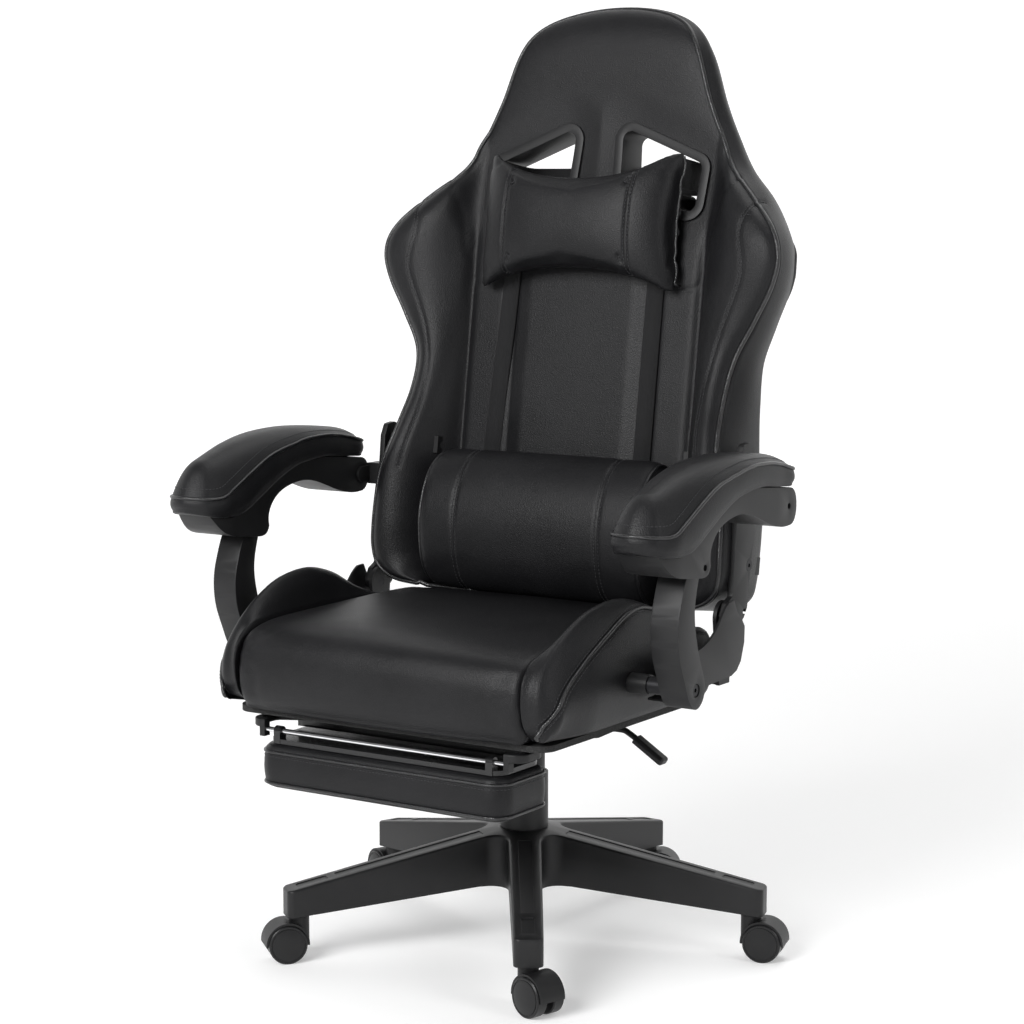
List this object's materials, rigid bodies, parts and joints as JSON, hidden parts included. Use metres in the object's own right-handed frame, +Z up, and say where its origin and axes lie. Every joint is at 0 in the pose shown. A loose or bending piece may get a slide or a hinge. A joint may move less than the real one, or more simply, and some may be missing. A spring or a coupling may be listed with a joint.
{
  "type": "gaming chair",
  "caption": "High-backed upholstered swivel chair with side wings, head and lumbar pillows, padded linked armrests, gas lift, star base on castors and a slide-out footrest.",
  "frame": {"origin": "on the floor, on the axis of the gas column, which is the seat's swivel axis", "axes": "+Z up; the sitter faces -Y; +X is on the left of the sitter"},
  "size_m": [0.778, 0.7066, 1.281],
  "materials": {
    "base_nylon": "black glass-filled nylon with a fine satin texture",
    "black_steel": "black powder coat",
    "bright_steel": "polished chrome plate",
    "dark_bolts": "black oxide",
    "moulded_plastic": "black moulded plastic with a fine grain",
    "tray_plastic": "smooth semi-gloss black",
    "castor_wheel": "semi-gloss black nylon",
    "seat_board": "plywood under black dust cloth",
    "webbing": "black woven elastic webbing",
    "leather": "smooth black synthetic leather with a fine grain"
  },
  "bodies": {
    "base": {"star_base": "base_nylon", "column_tube": "black_steel", "guide_bush": "base_nylon", "dust_cover": "base_nylon"},
    "swivel": {"piston_rod": "bright_steel"},
    "lift": {"gas_cylinder": "bright_steel", "upper_cover": "black_steel", "mechanism_housing": "black_steel", "tilt_pin": "bright_steel"},
    "tension_knob": {"tension_knob": "moulded_plastic"},
    "height_lever": {"lever_rod": "black_steel", "lever_grip": "moulded_plastic"},
    "seat": {"tilt_plate": "black_steel", "seat_frame": "black_steel", "seat_pan": "seat_board", "seat_cushion": "leather", "seat_bolster_left": "leather", "seat_bolster_right": "leather", "hinge_covers": "moulded_plastic", "pivot_bolts": "dark_bolts", "footrest_rails": "black_steel"},
    "recline_lever": {"recline_lever": "moulded_plastic"},
    "back": {"back_frame": "black_steel", "back_cushion": "leather", "back_rear_panel": "leather", "back_centre_pad": "leather", "wing_left": "leather", "wing_right": "leather", "slot_bezels": "moulded_plastic", "side_bracket_left": "black_steel", "side_bracket_right": "black_steel", "bracket_bolts": "dark_bolts", "head_pillow": "leather", "lumbar_pillow": "leather", "pillow_straps": "webbing"},
    "arm_leg_left": {"arm_leg_left": "moulded_plastic"},
    "arm_leg_right": {"arm_leg_right": "moulded_plastic"},
    "armrest_left": {"arm_shell_left": "moulded_plastic", "arm_pad_left": "leather"},
    "armrest_right": {"arm_shell_right": "moulded_plastic", "arm_pad_right": "leather"},
    "footrest_slider": {"footrest_frame": "black_steel", "footrest_rod": "bright_steel"},
    "footrest_flap": {"footrest_tray": "tray_plastic", "footrest_pad": "leather"},
    "caster_1": {"caster_hood_1": "moulded_plastic", "caster_pins_1": "bright_steel"},
    "wheels_1": {"caster_wheels_1": "castor_wheel"},
    "caster_2": {"caster_hood_2": "moulded_plastic", "caster_pins_2": "bright_steel"},
    "wheels_2": {"caster_wheels_2": "castor_wheel"},
    "caster_3": {"caster_hood_3": "moulded_plastic", "caster_pins_3": "bright_steel"},
    "wheels_3": {"caster_wheels_3": "castor_wheel"},
    "caster_4": {"caster_hood_4": "moulded_plastic", "caster_pins_4": "bright_steel"},
    "wheels_4": {"caster_wheels_4": "castor_wheel"},
    "caster_5": {"caster_hood_5": "moulded_plastic", "caster_pins_5": "bright_steel"},
    "wheels_5": {"caster_wheels_5": "castor_wheel"}
  },
  "joints": [
    {"name": "seat_swivel", "type": "hinge", "parent": "base", "child": "swivel", "pos_m": [0, 0, 0], "axis": [0, 0, 1], "continuous": true},
    {"name": "gas_lift", "type": "slide", "parent": "swivel", "child": "lift", "axis": [0, 0, 1], "range_m": [0, 0.08]},
    {"name": "tension_knob_turn", "type": "hinge", "parent": "lift", "child": "tension_knob", "pos_m": [0, -0.1, 0.305], "axis": [0, 1, 0], "range_deg": [-360, 360]},
    {"name": "height_lever_lift", "type": "hinge", "parent": "lift", "child": "height_lever", "pos_m": [0.052, -0.03, 0.299], "axis": [0, -1, 0], "range_deg": [0, 5], "stiffness_Nm_per_rad": 2, "springref_deg": -8.59},
    {"name": "seat_tilt", "type": "hinge", "parent": "lift", "child": "seat", "pos_m": [0, -0.06, 0.316], "axis": [-1, 0, 0], "range_deg": [0, 10], "stiffness_Nm_per_rad": 150, "springref_deg": -14.32},
    {"name": "recline", "type": "hinge", "parent": "seat", "child": "back", "pos_m": [0, 0.048, 0.468], "axis": [-1, 0, 0], "range_deg": [-8, 36]},
    {"name": "recline_lever_pull", "type": "hinge", "parent": "seat", "child": "recline_lever", "pos_m": [-0.304, -0.004, 0.424], "axis": [-1, 0, 0], "range_deg": [0, 25], "stiffness_Nm_per_rad": 0.6, "springref_deg": -14.32},
    {"name": "footrest_slide", "type": "slide", "parent": "seat", "child": "footrest_slider", "axis": [0, -1, 0], "range_m": [0, 0.25]},
    {"name": "footrest_flip", "type": "hinge", "parent": "footrest_slider", "child": "footrest_flap", "pos_m": [0, -0.327, 0.33], "axis": [-1, 0, 0], "range_deg": [0, 180]},
    {"name": "arm_leg_left_pivot", "type": "hinge", "parent": "seat", "child": "arm_leg_left", "pos_m": [0, -0.173, 0.415], "axis": [-1, 0, 0], "range_deg": [-8, 36]},
    {"name": "armrest_left_pivot", "type": "hinge", "parent": "arm_leg_left", "child": "armrest_left", "pos_m": [0, -0.178, 0.569], "axis": [-1, 0, 0], "range_deg": [-36, 8]},
    {"name": "arm_leg_right_pivot", "type": "hinge", "parent": "seat", "child": "arm_leg_right", "pos_m": [0, -0.173, 0.415], "axis": [-1, 0, 0], "range_deg": [-8, 36]},
    {"name": "armrest_right_pivot", "type": "hinge", "parent": "arm_leg_right", "child": "armrest_right", "pos_m": [0, -0.178, 0.569], "axis": [-1, 0, 0], "range_deg": [-36, 8]},
    {"name": "caster_1_swivel", "type": "hinge", "parent": "base", "child": "caster_1", "pos_m": [0.17838, -0.26446, 0], "axis": [0, 0, 1], "continuous": true},
    {"name": "caster_1_roll", "type": "hinge", "parent": "caster_1", "child": "wheels_1", "pos_m": [0.19655, -0.27002, 0.026], "axis": [0.2924, 0.9563, 0], "continuous": true},
    {"name": "caster_2_swivel", "type": "hinge", "parent": "base", "child": "caster_2", "pos_m": [0.30664, 0.08793, 0], "axis": [0, 0, 1], "continuous": true},
    {"name": "caster_2_roll", "type": "hinge", "parent": "caster_2", "child": "wheels_2", "pos_m": [0.32508, 0.09252, 0.026], "axis": [-0.2419, 0.9703, 0], "continuous": true},
    {"name": "caster_3_swivel", "type": "hinge", "parent": "base", "child": "caster_3", "pos_m": [0.01113, 0.31881, 0], "axis": [0, 0, 1], "continuous": true},
    {"name": "caster_3_roll", "type": "hinge", "parent": "caster_3", "child": "wheels_3", "pos_m": [0.02835, 0.32683, 0.026], "axis": [-0.4226, 0.9063, 0], "continuous": true},
    {"name": "caster_4_swivel", "type": "hinge", "parent": "base", "child": "caster_4", "pos_m": [-0.29976, 0.1091, 0], "axis": [0, 0, 1], "continuous": true},
    {"name": "caster_4_roll", "type": "hinge", "parent": "caster_4", "child": "wheels_4", "pos_m": [-0.31712, 0.11683, 0.026], "axis": [-0.4067, -0.9135, 0], "continuous": true},
    {"name": "caster_5_swivel", "type": "hinge", "parent": "base", "child": "caster_5", "pos_m": [-0.1964, -0.25138, 0], "axis": [0, 0, 1], "continuous": true},
    {"name": "caster_5_roll", "type": "hinge", "parent": "caster_5", "child": "wheels_5", "pos_m": [-0.20861, -0.26593, 0.026], "axis": [0.766, -0.6428, 0], "continuous": true}
  ],
  "couplings": [
    {"joint": "footrest_flip", "follows": "footrest_slide", "rad_per_m": 12.566},
    {"joint": "arm_leg_left_pivot", "follows": "recline", "ratio": 1},
    {"joint": "armrest_left_pivot", "follows": "recline", "ratio": -1},
    {"joint": "arm_leg_right_pivot", "follows": "recline", "ratio": 1},
    {"joint": "armrest_right_pivot", "follows": "recline", "ratio": -1}
  ]
}
